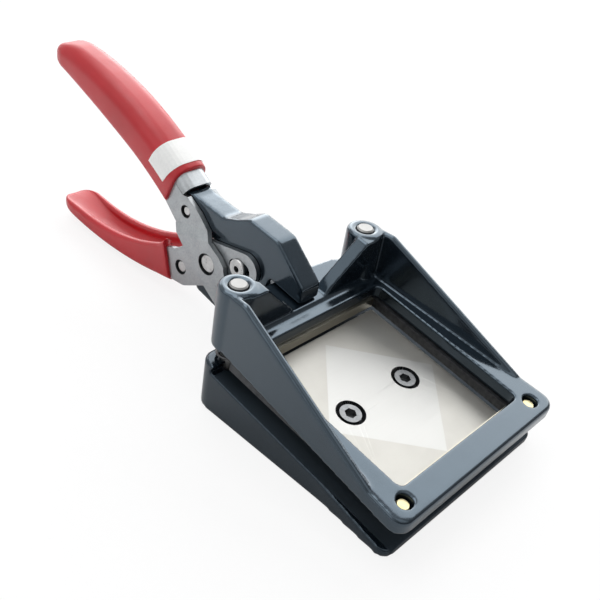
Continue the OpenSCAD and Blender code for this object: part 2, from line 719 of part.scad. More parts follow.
// Forward lean of the mouth's lower edge, and the length over which it fades
mouth_lean = 2.6;
lean_l = 10;
function fade(s) = pow(1 - pow(max(0, s - taper_s)/(grip_l - taper_s), 1.7), 0.66);
function blunt(s, l) = sqrt(1 - pow(max(0, s - grip_l + l)/l, 2));
function grip_section(s, extra = 0) = let(
    tip = 0.7,
    x = max(0.3, grip_x*(0.84 + 0.16*fade(s))*blunt(s, 7) + extra),
    top = tip + (grip_x - tip)*blunt(s, 13) + extra,
    low = tip + (grip_low - tip)*fade(s),
    r = min(0.75*x, 0.48*(top - low)))
    concat(arc([x - r/2, low + r/2], r/2, -90, 0, 3), arc([x - r, top - r], r, 0, 90, 6),
        arc([r - x, top - r], r, 90, 180, 6), arc([r/2 - x, low + r/2], r/2, 180, 270, 3));
// Places an [x, b] ring across the bow at a distance from the mouth, its foot leaning forward
function on_bow(s, ring, lean = 0) = let(
    a = grip_turn(s),
    o = [cos(a), sin(a)],
    f = lean/(grip_x - grip_low)*[-sin(a), cos(a)])
    [for (p = ring) let(q = bow_at + (bow_r + p.y)*o + (grip_x - p.y)*f) [p.x, q.x, q.y]];
pocket_n = 20;
skin_gap = 0.04;
tip_steps = [0.905, 0.94, 0.965, 0.985, 0.996];
grip_stations = concat([for (i = [0:14]) 0.875*grip_l*i/14], [for (k = tip_steps) k*grip_l]);
module upper_grip() {
    color(red) difference() {
        loft([for (s = grip_stations)
            on_bow(s, grip_section(s), mouth_lean*max(0, 1 - s/lean_l))]);
        loft([for (i = [0:pocket_n])
            let(q = (channel_l + seat_gap + 2*mouth_lean)*i/pocket_n - 2*mouth_lean)
            on_bow(q, channel(out_x + skin_gap, out_x + skin_gap, bend_r, -2*leg_h))]);
    }
}
// Label: a paper band over the back and the sides of the upper grip
label_low = -1;
function label_face(s, extra) = let(g = grip_section(s, extra), m = len(g))
    concat([[g[4].x, label_low]], [for (i = [4:m - 5]) g[i]], [[g[m - 5].x, label_low]]);
module size_label() {
    inner = label_face(label_gap, seat_gap);
    color(white) bow(bow_at, grip_turn(label_gap + label_w), grip_turn(label_gap))
        translate([bow_r, 0]) rotate(-90) polygon(concat(label_face(label_gap, label_t),
            [for (i = [len(inner) - 1:-1:0]) inner[i]]));
}

module main_pivot_rivet() {
    color(steel) rivet(main_at, main_d, wide_out - dish_d, main_head_r, head_h);
}
module tail_rivet() {
    color(steel) rivet(tail_at, tail_d, wide_out, 3.2, 1.2);
}
module arm_pivot_pin() {
    color(steel) rivet(arm_at, arm_d, out_x - dish_d, arm_head_r, head_h);
}

// Press arm
arm_end_r = 5.8;
link_lug_r = 4.2;
arm_outline = rounded([[arm_at + [-1.6, arm_end_r - 0.3], 0], [notch + [31.2, 11.6], 4],
    [notch + [26, 13.7], 4], [notch + [21.6, 16.1], 3], [notch + [10, 14.75], 3],
    [notch + [-1.5, 5.2], 1], [notch + [-1.5, 0.1], 0.8], [notch + [4, 0.9], 3],
    [notch + [10.9, 2], 0.8], [notch + [12.4, -2.6], 1.5], [link_at + [-1, -2.5], 0],
    [link_at + [5, 1], 2], [notch + [30, 3.2], 4], [arm_at + [-1.6, 0.3 - arm_end_r], 0]]);
module press_arm() {
    color(black) difference() {
        slab(-arm_w/2, arm_w/2) {
            polygon(arm_outline);
            disc(arm_at, arm_end_r);
            disc(link_at, link_lug_r);
        }
        bar(arm_at, arm_d/2 + run_gap, -arm_w, arm_w);
        bar(link_at, link_d/2 + seat_gap, -arm_w, arm_w);
    }
}
// Link pin: a hollow rivet with a ring head outside each plate of the tongue
link_head_r = 3;
link_head_h = 0.8;
link_room = 0.6;
module link_pin() {
    color(bright) difference() {
        union() {
            bar(link_at, link_d/2, -out_x - side_play, out_x + side_play);
            both() rivet_head(link_at, out_x + side_play/2, link_head_r, link_head_h);
        }
        bar(link_at, link_bore/2, -2*wide_out, 2*wide_out);
    }
}

// Lower handle: two plates with a slotted tongue, and a trough-shaped channel in the grip
tongue_at = link_at + [-2.3, 0.9];
tongue_r = 4.9;
hub_r = 7.2;
cross_r = 6;
blade_at = main_at + [31.2, -13.2];
blade_r = 3.4;
slot_r = link_d/2 + 0.3;
slot_front = link_at - 2.2*link_dir;
slot_rear = link_at + (norm(link_way) + 0.3)*link_dir;
web_from = blade_at.x - 8;
web_to = low_at.x - 6;
function low_turn(y) = 270 + asin((y - low_centre.x)/low_bow);
module low_channel(gap) {
    leg = 3.6;
    r = low_bow - coat_t;
    bow(low_centre, low_turn(web_from), low_turn(web_to)) translate([r + gap, -out_x - gap])
        mirror([1, 0]) difference() {
            square([leg + 2*gap, 2*(out_x + gap)]);
            translate([plate_t + 2*gap, plate_t + 2*gap]) square([2*leg, 2*(in_x - gap)]);
        }
}
module lower_plate() {
    slab(in_x, out_x) polygon(belted([[tongue_at, tongue_r], [main_at, hub_r],
        [cross_at, cross_r], [blade_at, blade_r]]));
}
// Slot of the grip round the narrow end of a plate
module blade_slot() {
    slab(in_x - skin_gap, out_x + skin_gap)
        polygon(belted([[cross_at, cross_r + skin_gap], [blade_at, blade_r + skin_gap]]));
}
module lower_handle() {
    color(steel) difference() {
        union() {
            both() lower_plate();
            low_channel(-hair);
        }
        bar(main_at, main_d/2 + run_gap, -wide_out, wide_out);
        bar(cross_at, cross_d/2 + seat_gap, -wide_out, wide_out);
        dish(cross_at, out_x, cross_head_r);
        slab(-wide_out, wide_out) polygon(belted([[slot_front, slot_r], [slot_rear, slot_r]]));
    }
}
// Lower grip: rings along the handle, a trough that fades out to a solid tip
low_x = out_x + coat_t - 0.15;
rim_r = 1.45;
mouth_slant = 0.3;
low_tip_l = 13;
low_blunt_l = 7.5;
function low_ring(f) = let(
    y = main_at.x + low_mouth + (low_tip - low_mouth)*f,
    end = main_at.x + low_tip,
    k = sqrt(1 - pow(max(0, y - end + low_tip_l)/low_tip_l, 2)),
    middle = low_at.y + 4.6,
    x = max(0.3, low_x*sqrt(1 - pow(max(0, y - end + low_blunt_l)/low_blunt_l, 2))),
    low = middle + (low_z(y) - middle)*k,
    top = middle + (ridge_z(y) - middle)*k,
    r = min(rim_r, 0.45*x, 0.24*(top - low)),
    q = min(2.4, 0.6*x, 0.45*(top - low)),
    deep = max(0.25, (4.8 - 4.6*f)*k),
    inner = 90 + 90*min(1, max(0, 3.8 - 4*f)),
    floor_x = x - r + r*cos(inner),
    floor_z = top - r + r*sin(inner),
    slant = mouth_slant*max(0, 1 - 12*f),
    ring = concat(arc([q - x, low + q], q, 180, 270, 4), arc([x - q, low + q], q, 270, 360, 4),
        arc([x - r, top - r], r, 0, inner, 6),
        [for (i = [1:5]) [floor_x*cos(36*i - 18), floor_z - deep*sin(36*i - 18)]],
        arc([r - x, top - r], r, 180 - inner, 180, 6)))
    [for (p = ring) [p.x, y + slant*(p.y - middle - 5), p.y]];
low_stations = concat([0, 0.04, 0.09], [for (i = [1:10]) 0.09 + 0.8*i/10],
    [0.93, 0.96, 0.985, 0.997]);
module lower_grip() {
    color(red) difference() {
        loft([for (f = low_stations) low_ring(f)]);
        both() blade_slot();
        low_channel(seat_gap);
    }
}
module handle_rivet() {
    color(steel) rivet(cross_at, cross_d, out_x - dish_d, cross_head_r, head_h);
}
module handle_spacer() {
    color(steel) difference() {
        bar(cross_at, spacer_d/2, -in_x + seat_gap, in_x - seat_gap);
        bar(cross_at, cross_d/2 + seat_gap, -in_x - past, in_x + past);
    }
}

base_casting();
punch_block();
punch_screws();
guide_post_left();
guide_post_right();
return_spring_left();
return_spring_right();
die_frame();
die_ring();
die_pins_front();
die_screws_rear();
upper_handle();
upper_grip();
size_label();
main_pivot_rivet();
tail_rivet();
arm_pivot_pin();
press_arm();
link_pin();
lower_handle();
lower_grip();
handle_rivet();
handle_spacer();
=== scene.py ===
"""Looks of the photo cutter: materials, soft edges, springs, studio and camera, in the CAD frame (metres)."""
import math

import bmesh
import bpy
from mathutils import Matrix, Vector


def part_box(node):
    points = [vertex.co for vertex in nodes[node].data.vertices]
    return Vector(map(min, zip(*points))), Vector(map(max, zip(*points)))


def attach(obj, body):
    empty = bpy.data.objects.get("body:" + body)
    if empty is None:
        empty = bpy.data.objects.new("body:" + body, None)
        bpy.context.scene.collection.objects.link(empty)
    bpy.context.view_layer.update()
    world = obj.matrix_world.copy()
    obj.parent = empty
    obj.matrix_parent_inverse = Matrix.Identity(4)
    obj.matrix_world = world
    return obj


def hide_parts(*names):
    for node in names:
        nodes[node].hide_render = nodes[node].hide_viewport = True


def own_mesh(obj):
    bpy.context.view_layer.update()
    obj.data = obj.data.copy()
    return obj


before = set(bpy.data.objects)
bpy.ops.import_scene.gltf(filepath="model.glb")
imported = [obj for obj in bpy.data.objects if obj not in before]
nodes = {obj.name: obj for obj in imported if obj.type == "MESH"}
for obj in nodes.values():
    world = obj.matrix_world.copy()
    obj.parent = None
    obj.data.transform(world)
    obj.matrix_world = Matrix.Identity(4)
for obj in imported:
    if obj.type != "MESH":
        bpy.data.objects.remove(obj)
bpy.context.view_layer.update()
MM = 0.001
SHARP = math.radians(32)  # edges above this angle are broken
SEAM = 1e-6  # vertices closer than this are one


def middle_of(node):
    """Middle of a CAD node's box, in millimetres."""
    low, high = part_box(node)
    return (low + high) / 2 / MM


# Node trees
class Tree:
    """A node tree with short calls."""

    def __init__(self, tree):
        self.tree = tree

    def add(self, kind, **props):
        node = self.tree.nodes.new(kind)
        for key, value in props.items():
            setattr(node, key, value)
        return node

    def link(self, a, b):
        self.tree.links.new(a, b)

    def calc(self, operation, *values):
        """Result of a Math node: a number is set on its socket, and anything else is linked."""
        node = self.add("ShaderNodeMath", operation=operation)
        for socket, value in zip(node.inputs, values):
            if isinstance(value, float):
                socket.default_value = value
            else:
                self.link(value, socket)
        return node.outputs["Value"]

    def map_range(self, value, start, end, low=0.0, high=1.0):
        node = self.add("ShaderNodeMapRange")
        for name, number in (("From Min", start), ("From Max", end), ("To Min", low), ("To Max", high)):
            node.inputs[name].default_value = number
        self.link(value, node.inputs["Value"])
        return node.outputs["Result"]

    def mix(self, fac, a, b):
        """The first shader at 0, the second at 1."""
        node = self.add("ShaderNodeMixShader")
        for socket, value in zip(node.inputs, (fac, a, b)):
            self.link(value, socket)
        return node.outputs["Shader"]


class Shader(Tree):
    """A material with short calls for the nodes that the finishes share."""

    def __init__(self, name):
        self.mat = bpy.data.materials.new(name)
        self.mat.use_nodes = True
        super().__init__(self.mat.node_tree)
        self.bsdf = self.tree.nodes["Principled BSDF"]
        self.place = self.add("ShaderNodeTexCoord").outputs["Object"]

    def stretched(self, scale, turn=(0, 0, 0)):
        m = self.add("ShaderNodeMapping")
        m.inputs["Scale"].default_value = scale
        m.inputs["Rotation"].default_value = turn
        self.link(self.place, m.inputs["Vector"])
        return m.outputs["Vector"]

    def noise(self, scale, detail=4.0, rough=0.55, vector=None):
        n = self.add("ShaderNodeTexNoise")
        n.inputs["Scale"].default_value = scale
        n.inputs["Detail"].default_value = detail
        n.inputs["Roughness"].default_value = rough
        self.link(vector or self.place, n.inputs["Vector"])
        return n.outputs["Fac"]

    def ramp(self, value, low, high, start=0.3, end=0.7):
        """Colour between two tones, for a noise value between two stops."""
        n = self.add("ShaderNodeValToRGB")
        for stop, at, colour in zip(n.color_ramp.elements, (start, end), (low, high)):
            stop.position = at
            stop.color = (*colour, 1)
        self.link(value, n.inputs["Fac"])
        return n.outputs["Color"]

    def span(self, value, low, high):
        """Number between two ends, for a noise value."""
        return self.map_range(value, 0.3, 0.7, low, high)

    def blend(self, fac, a, b):
        n = self.add("ShaderNodeMix", data_type="RGBA")
        if isinstance(fac, float):
            n.inputs["Factor"].default_value = fac
        else:
            self.link(fac, n.inputs["Factor"])
        self.link(a, n.inputs["A"])
        self.link(b, n.inputs["B"])
        return n.outputs["Result"]

    def bump(self, height, strength, distance, below=None):
        n = self.add("ShaderNodeBump")
        n.inputs["Strength"].default_value = strength
        n.inputs["Distance"].default_value = distance
        self.link(height, n.inputs["Height"])
        if below is not None:
            self.link(below, n.inputs["Normal"])
        return n.outputs["Normal"]

    def square(self, centre, side, turn=0.0, soft=0.0001):
        """1 inside a square in plan, 0 outside, with a soft edge."""
        m = self.add("ShaderNodeMapping", vector_type="TEXTURE")
        m.inputs["Location"].default_value = (*centre, 0)
        m.inputs["Rotation"].default_value = (0, 0, turn)
        self.link(self.place, m.inputs["Vector"])
        xyz = self.add("ShaderNodeSeparateXYZ")
        self.link(m.outputs["Vector"], xyz.inputs["Vector"])
        across, along = (self.calc("ABSOLUTE", xyz.outputs[axis]) for axis in "XY")
        far = self.calc("MAXIMUM", across, along)
        return self.map_range(far, side / 2 + soft, side / 2 - soft)

    def set(self, **sockets):
        for key, value in sockets.items():
            socket = self.bsdf.inputs[key.replace("_", " ")]
            if isinstance(value, bpy.types.NodeSocket):
                self.link(value, socket)
            else:
                socket.default_value = value
        return self.mat


# Finishes
def black_paint(name, gloss, dull=None):
    """Stove paint over a fine sand casting: faint cloudiness, orange peel and a square that may be dull."""
    s = Shader(name)
    cloud = s.noise(160, 5)
    colour = s.ramp(cloud, (0.0030, 0.0055, 0.0085), (0.0065, 0.0105, 0.0155))
    peel = s.bump(s.noise(1500, 2), 0.04, 0.0001)
    cast = s.bump(s.noise(260, 3), 0.05, 0.0005, peel)
    rough = s.span(s.noise(220, 4), 0.12, 0.19)
    if dull:
        rough = s.blend(s.square(*dull), rough, s.span(cloud, 0.7, 0.8))
    return s.set(Base_Color=colour, Roughness=rough, Normal=cast,
                 Specular_IOR_Level=gloss, Specular_Tint=(0.66, 0.84, 1.0, 1))


def ground_steel(name, low, high, rough, reflection_square=None, tones=None):
    """Surface-ground tool steel: parallel grinding lines, a faint cloud, and a paler square that may be laid
    on as a painted reflection of a softbox.
    """
    s = Shader(name)
    lines = s.noise(1.0, 3, 0.6, s.stretched((60, 5200, 900)))
    cloud = s.noise(70, 3)
    colour = s.blend(0.5, s.ramp(lines, low, high), s.ramp(cloud, low, high, 0.35, 0.65))
    if reflection_square:
        # painted reflection: a paler square, standing for a softbox's reflection, laid into the colour
        colour = s.blend(s.square(*reflection_square), colour, s.ramp(lines, *tones))
    return s.set(Base_Color=colour, Metallic=1.0, Roughness=s.span(lines, rough - 0.05, rough + 0.07),
                 Normal=s.bump(lines, 0.05, 0.00005))


def zinc_plate():
    """Dull zinc-plated sheet: cloudy grey with pressing marks and fine scratches."""
    s = Shader("zinc_plate")
    cloud = s.noise(210, 6, 0.65)
    speck = s.noise(1500, 5, 0.7)
    scratch = s.noise(1.0, 4, 0.7, s.stretched((900, 260, 4200), (0.5, 0, 0)))
    clouds = s.ramp(cloud, (0.27, 0.288, 0.30), (0.38, 0.40, 0.415), 0.28, 0.72)
    specks = s.ramp(speck, (0.17, 0.18, 0.19), (0.56, 0.57, 0.57), 0.35, 0.65)
    return s.set(Base_Color=s.blend(0.15, clouds, specks), Metallic=1.0, Roughness=s.span(cloud, 0.3, 0.41),
                 Normal=s.bump(scratch, 0.06, 0.0001, s.bump(speck, 0.04, 0.0001)))


def rivet_steel():
    """Bright upset rivets: hammered heads with small marks."""
    s = Shader("rivet_steel")
    marks = s.noise(700, 4, 0.6)
    colour = s.ramp(marks, (0.38, 0.385, 0.385), (0.56, 0.56, 0.555))
    return s.set(Base_Color=colour, Metallic=1.0, Roughness=s.span(marks, 0.26, 0.42),
                 Normal=s.bump(marks, 0.16, 0.00015))


def yellow_zinc():
    """Yellow passivated zinc, uneven in tint."""
    s = Shader("yellow_zinc")
    tint = s.noise(420, 4)
    colour = s.ramp(tint, (0.50, 0.42, 0.21), (0.62, 0.56, 0.36))
    return s.set(Base_Color=colour, Metallic=1.0, Roughness=s.span(tint, 0.28, 0.4),
                 Normal=s.bump(s.noise(1600, 3), 0.08, 0.0001))


def black_oxide():
    """Blackened steel for the rear die screws, also laid on other parts' faces as painted shade."""
    s = Shader("black_oxide")
    cloud = s.noise(800, 5)
    colour = s.ramp(cloud, (0.022, 0.023, 0.026), (0.06, 0.062, 0.066))
    return s.set(Base_Color=colour, Metallic=0.6, Roughness=s.span(cloud, 0.3, 0.45),
                 Normal=s.bump(s.noise(2200, 3), 0.08, 0.0001))


def screw_steel():
    """Blackened screw heads, worn to grey on top."""
    s = Shader("screw_steel")
    wear = s.noise(900, 4)
    colour = s.ramp(wear, (0.12, 0.125, 0.13), (0.22, 0.225, 0.23))
    return s.set(Base_Color=colour, Metallic=1.0, Roughness=s.span(wear, 0.3, 0.42),
                 Normal=s.bump(wear, 0.06, 0.00005))


def spring_steel():
    """Dark drawn wire."""
    s = Shader("spring_steel")
    draw = s.noise(900, 4)
    colour = s.ramp(draw, (0.05, 0.052, 0.055), (0.12, 0.12, 0.12))
    return s.set(Base_Color=colour, Metallic=1.0, Roughness=s.span(draw, 0.28, 0.4),
                 Normal=s.bump(draw, 0.06, 0.00005))


def red_grip():
    """Dipped vinyl: a soft gloss, with slow ripples and flow marks."""
    s = Shader("red_grip")
    flow = s.noise(1.0, 3, 0.5, s.stretched((120, 60, 60)))
    colour = s.ramp(flow, (0.42, 0.005, 0.011), (0.49, 0.008, 0.016))
    ripple = s.bump(flow, 0.12, 0.0005)
    return s.set(Base_Color=colour, Roughness=s.span(s.noise(260, 4), 0.34, 0.42), Normal=ripple,
                 Specular_IOR_Level=0.52)


def label_paper():
    """White paper with a faint grain of fibres."""
    s = Shader("label_paper")
    fibre = s.noise(1.0, 5, 0.6, s.stretched((900, 1700, 900)))
    colour = s.ramp(fibre, (0.88, 0.88, 0.865), (0.94, 0.94, 0.925))
    return s.set(Base_Color=colour, Roughness=0.55, Normal=s.bump(fibre, 0.1, 0.0001))


# Squares in plan, as centre, side and turn: the dull table of the base, and a painted reflection of a softbox
# on the punch
TABLE = ((0.0, 1e-3), 63.5e-3)
PAINTED_REFLECTION = ((0.8e-3, 0.0), 31.5e-3, math.radians(45))
REFLECTION_TONES = ((0.40, 0.40, 0.391), (0.435, 0.435, 0.424))

paint = black_paint("black_paint", 1.0)
base_paint = black_paint("base_paint", 0.55, TABLE)
punch = ground_steel("punch_steel", (0.34, 0.334, 0.312), (0.395, 0.389, 0.366), 0.48, PAINTED_REFLECTION, REFLECTION_TONES)
post = ground_steel("post_steel", (0.21, 0.21, 0.207), (0.28, 0.28, 0.275), 0.5)
die = ground_steel("die_steel", (0.36, 0.34, 0.285), (0.48, 0.455, 0.385), 0.36)
zinc, rivets, red = zinc_plate(), rivet_steel(), red_grip()
oxide_and_shade, yellow, wire, paper = black_oxide(), yellow_zinc(), spring_steel(), label_paper()
heads = screw_steel()

MATERIAL = {
    "base_casting": base_paint, "die_frame": paint, "press_arm": paint,
    "punch_block": punch, "die_ring": die, "guide_post_left": post, "guide_post_right": post,
    "upper_handle": zinc, "lower_handle": zinc,
    "main_pivot_rivet": rivets, "tail_rivet": rivets, "arm_pivot_pin": rivets, "link_pin": rivets,
    "handle_rivet": rivets, "handle_spacer": rivets,
    "punch_screws": heads, "die_screws_rear": oxide_and_shade, "die_pins_front": yellow,
    "upper_grip": red, "lower_grip": red, "size_label": paper,
}
# Widths of the broken edges, in millimetres
EDGE = {"punch_block": 0.06, "die_ring": 0.05, "punch_screws": 0.12, "die_pins_front": 0.1}
PLATE_EDGE = 0.15


def break_edges(obj, width):
    bevel = obj.modifiers.new("edges", "BEVEL")
    bevel.width = width * MM
    bevel.segments = 3
    bevel.limit_method = "ANGLE"
    bevel.angle_limit = SHARP
    return bevel


def soften(obj, width):
    """Closes the seams of a CAD mesh and rounds its sharp edges, as modifiers."""
    weld = obj.modifiers.new("seams", "WELD")
    weld.merge_threshold = SEAM
    bevel = break_edges(obj, width)
    bevel.harden_normals = True
    bevel.miter_outer = "MITER_ARC"


for name, mat in MATERIAL.items():
    obj = nodes[name]
    obj.data.materials.clear()
    obj.data.materials.append(mat)
    if name in EDGE:
        soften(obj, EDGE[name])

# Faces with painted shade, told by a face's centre, in millimetres, and its normal
DIE_BRIGHT_X = 24.9  # the die plate has painted shade beyond this half-width
DIE_BRIGHT_Y = 26  # and on walls that are further than this from its middle
DIE_Y = middle_of("die_ring").y
BORE_X, BORE_Y, BORE_R = 11.8, 0.8, 4.6  # places of the punch's counterbores, and the reach of the painted shade round each
BORE_TOP, TOP_GAP = 11.4, 0.2  # height of the punch's sloping top there, and the depth that stays bright
WALL = 0.6  # a face whose normal rises less than this is a wall
# Rivet dishes in the side plates get painted shade: the middle of the rivet in each, and the radius
SHADED_DISHES = [(middle_of(node), r) for node, r in
          (("main_pivot_rivet", 3.5), ("arm_pivot_pin", 2.1), ("handle_rivet", 2.5))]


def die_shade(c, n):
    return abs(c.x) > DIE_BRIGHT_X or abs(n.z) < WALL and abs(c.y - DIE_Y) > DIE_BRIGHT_Y


def shaded_counterbore(c, n):
    return math.hypot(abs(c.x) - BORE_X, c.y - BORE_Y) < BORE_R and abs(c.z - BORE_TOP) > TOP_GAP


def shaded_dish(c, n):
    return any(math.hypot(c.y - axis.y, c.z - axis.z) < r for axis, r in SHADED_DISHES)


def paint_shade(node, test):
    """Gives the faces of a CAD node that pass a test the dark steel, as painted shade."""
    mesh = nodes[node].data
    mesh.materials.append(oxide_and_shade)
    for f in mesh.polygons:
        f.material_index = int(test(f.center / MM, f.normal))


# painted shade on the die ring: its sides and far walls are dark, as shade inside the frame's window
paint_shade("die_ring", die_shade)
# painted shade in the punch's counterbores: their walls and floors are dark, as shade deep in a recess
paint_shade("punch_block", shaded_counterbore)
# painted shade in the rivet dishes of both side plates: their walls and floors are dark, as shade in a recess
paint_shade("upper_handle", shaded_dish)
paint_shade("lower_handle", shaded_dish)


# Skins that replace CAD nodes
def skin(node, body):
    """A piece with the closed mesh of a CAD node, to be smoothed in its place."""
    mesh = nodes[node].data.copy()
    work = bmesh.new()
    work.from_mesh(mesh)
    bmesh.ops.remove_doubles(work, verts=work.verts, dist=SEAM)
    work.to_mesh(mesh)
    work.free()
    if "custom_normal" in mesh.attributes:
        mesh.attributes.remove(mesh.attributes["custom_normal"])
    for f in mesh.polygons:
        f.use_smooth = True
    mesh.set_sharp_from_angle(angle=SHARP)
    obj = bpy.data.objects.new(node + "_skin", mesh)
    bpy.context.scene.collection.objects.link(obj)
    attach(obj, body)
    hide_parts(node)
    return obj


def casting(node, body, voxel, rounds):
    """A casting, with its edges rounded and its corners filled: a grid in millimetres, smoothed in rounds."""
    obj = skin(node, body)
    grid = obj.modifiers.new("grid", "REMESH")
    grid.mode = "VOXEL"
    grid.voxel_size = voxel * MM
    grid.use_smooth_shade = True
    smooth = obj.modifiers.new("fillets", "SMOOTH")
    smooth.factor = 0.5
    smooth.iterations = rounds


def plate(node, body):
    """A pressed plate, with smooth bends between broken edges."""
    obj = skin(node, body)
    break_edges(obj, PLATE_EDGE)
    flat = obj.modifiers.new("flats", "WEIGHTED_NORMAL")
    flat.keep_sharp = True


casting("base_casting", "base", 0.4, 10)
casting("die_frame", "die_frame", 0.3, 18)
casting("press_arm", "press_arm", 0.3, 36)
plate("upper_handle", "base")
plate("lower_handle", "lower_handle")


def loft(name, rings, mat):
    """A closed and smooth piece over rings of points, in metres."""
    n = len(rings[0])
    last = (len(rings) - 1) * n
    faces = []
    for i in range(0, last, n):
        for k in range(n):
            m = (k + 1) % n
            faces.append((i + k, i + n + k, i + n + m, i + m))
    faces.append(tuple(range(n)))
    faces.append(tuple(range(last + n - 1, last - 1, -1)))
    mesh = bpy.data.meshes.new(name)
    mesh.from_pydata([tuple(p) for points in rings for p in points], [], faces)
    mesh.validate()
    for f in mesh.polygons:
        f.use_smooth = True
    mesh.materials.append(mat)
    obj = bpy.data.objects.new(name, mesh)
    bpy.context.scene.collection.objects.link(obj)
    return obj


# Return springs: the same helix as the CAD tube, with a round wire
WIRE_R, COIL_R = 0.45 * MM, 3.5 * MM
COIL_TURNS, COIL_STEPS, WIRE_SIDES = 6, 28, 10


def spring(name, node):
    low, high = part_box(node)
    cx, cy = (low.x + high.x) / 2, (low.y + high.y) / 2
    start, rise = low.z + WIRE_R, high.z - low.z - 2 * WIRE_R
    count = COIL_TURNS * COIL_STEPS
    turns = [-2 * math.pi * k / WIRE_SIDES for k in range(WIRE_SIDES)]
    rings = []
    for i in range(count + 1):
        a = 2 * math.pi * i / COIL_STEPS
        out = Vector((math.cos(a), math.sin(a), 0))
        centre = Vector((cx, cy, start + rise * i / count)) + COIL_R * out
        rings.append([centre + WIRE_R * (math.cos(t) * out + Vector((0, 0, math.sin(t)))) for t in turns])
    obj = loft(name, rings, wire)
    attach(obj, "base")
    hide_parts(node)
    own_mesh(obj)


spring("coil_left", "return_spring_left")
spring("coil_right", "return_spring_right")

# Grips: the CAD lofts again, with many more rings, round mouths and closed tips, in millimetres
TIP_L = 13  # length over which both grips round off in height
TIP_RUN = 14  # length with closer rings at the tips
ROLL = 0.45  # radius of the rolled mouths
THIN = 0.02  # least height of a ring for its radii

# Upper grip: its section follows a bow
GRIP_X, GRIP_LOW, GRIP_L = 6.65, -6.4, 65.5  # half-width, underside and length
BOW_R, TILT = 114.0, math.radians(32.5)  # radius of the bow, and its slope at the mouth
MOUTH = middle_of("arm_pivot_pin") + Vector((0, 7.6, 5.8))
BOW_AT = (MOUTH.y + BOW_R * math.sin(TILT), MOUTH.z - BOW_R * math.cos(TILT))
TAPER_S = 0.36 * GRIP_L  # where the underside starts to rise
TIP_RISE = 0.7  # height of the tip over the bow
BLUNT_L = 7  # length over which the sides close
NARROW = 0.16  # share of the width that is lost towards the tip
LEAN, LEAN_L = 2.6, 10  # forward lean of the mouth's foot, and the length over which it fades

# Lower grip: a trough, whose underside and rim follow two bows
MAIN_Y = middle_of("main_pivot_rivet").y
LOW_MOUTH, LOW_TIP = MAIN_Y + 18.4, MAIN_Y + 77.2
LOW_L = LOW_TIP - LOW_MOUTH
LOW_X, LOW_BLUNT_L = 6.5, 7.5  # half-width, and the length over which the sides close
LOW_AT, LOW_BOW_R = (MAIN_Y + 50.2, 0.92), 131  # lowest point and radius of the underside
RIM_RISE, RIM_BACK, RIM_BOW_R = 5.9, 9, 78  # lowest point of the rim from the underside's, and its radius
LOW_MIDDLE = LOW_AT[1] + 4.6  # height of the tip
RIM_R, FOOT_R = 1.45, 2.4  # radii across the rim and at the lower edges
TROUGH_D, TROUGH_FADE = 4.8, 4.6  # depth of the trough at the mouth, and its loss towards the tip
ROLL_END, ROLL_SHARE = 0.95, 0.25  # where the rim's inward roll ends, and the share over which it fades
SLANT, SLANT_L = 0.3, LOW_L / 12  # lean of the mouth, and the length over which it fades
SLANT_Z = LOW_MIDDLE + 5  # height at which the lean leaves the mouth in place


def arc(cx, cy, r, start, end, n):
    turns = [math.radians(start + (end - start) * i / n) for i in range(n + 1)]
    return [(cx + r * math.cos(t), cy + r * math.sin(t)) for t in turns]


def past(x, start, length):
    """How far x is past start, as a share of a length, from 0."""
    return max(0.0, x - start) / length


def round_off(x, end, length):
    """A quarter ellipse: 1 up to a length before the end, 0 at the end."""
    return math.sqrt(max(0.0, 1 - past(x, end - length, length) ** 2))


def sag(d, r):
    """Height of a bow at a distance from its lowest point."""
    return r - math.sqrt(r ** 2 - d ** 2)


def upper_ring(s, inset):
    """Ring across the upper grip at a distance from its mouth."""
    fade = max(0.0, 1 - past(s, TAPER_S, GRIP_L - TAPER_S) ** 1.7) ** 0.66
    x = max(0.05, GRIP_X * (1 - NARROW + NARROW * fade) * round_off(s, GRIP_L, BLUNT_L) - inset)
    top = TIP_RISE + (GRIP_X - TIP_RISE) * round_off(s, GRIP_L, TIP_L) - inset
    low = TIP_RISE + (GRIP_LOW - TIP_RISE) * fade + inset
    r = min(0.75 * x, 0.48 * max(THIN, top - low))
    ring = (arc(x - r / 2, low + r / 2, r / 2, -90, 0, 5) + arc(x - r, top - r, r, 0, 90, 12)
            + arc(r - x, top - r, r, 90, 180, 12) + arc(r / 2 - x, low + r / 2, r / 2, 180, 270, 5))
    a = math.pi / 2 + TILT - s / BOW_R
    lean = LEAN * max(0.0, 1 - s / LEAN_L) / (GRIP_X - GRIP_LOW)
    return [(px, BOW_AT[0] + (BOW_R + b) * math.cos(a) - (GRIP_X - b) * lean * math.sin(a),
             BOW_AT[1] + (BOW_R + b) * math.sin(a) + (GRIP_X - b) * lean * math.cos(a)) for px, b in ring]


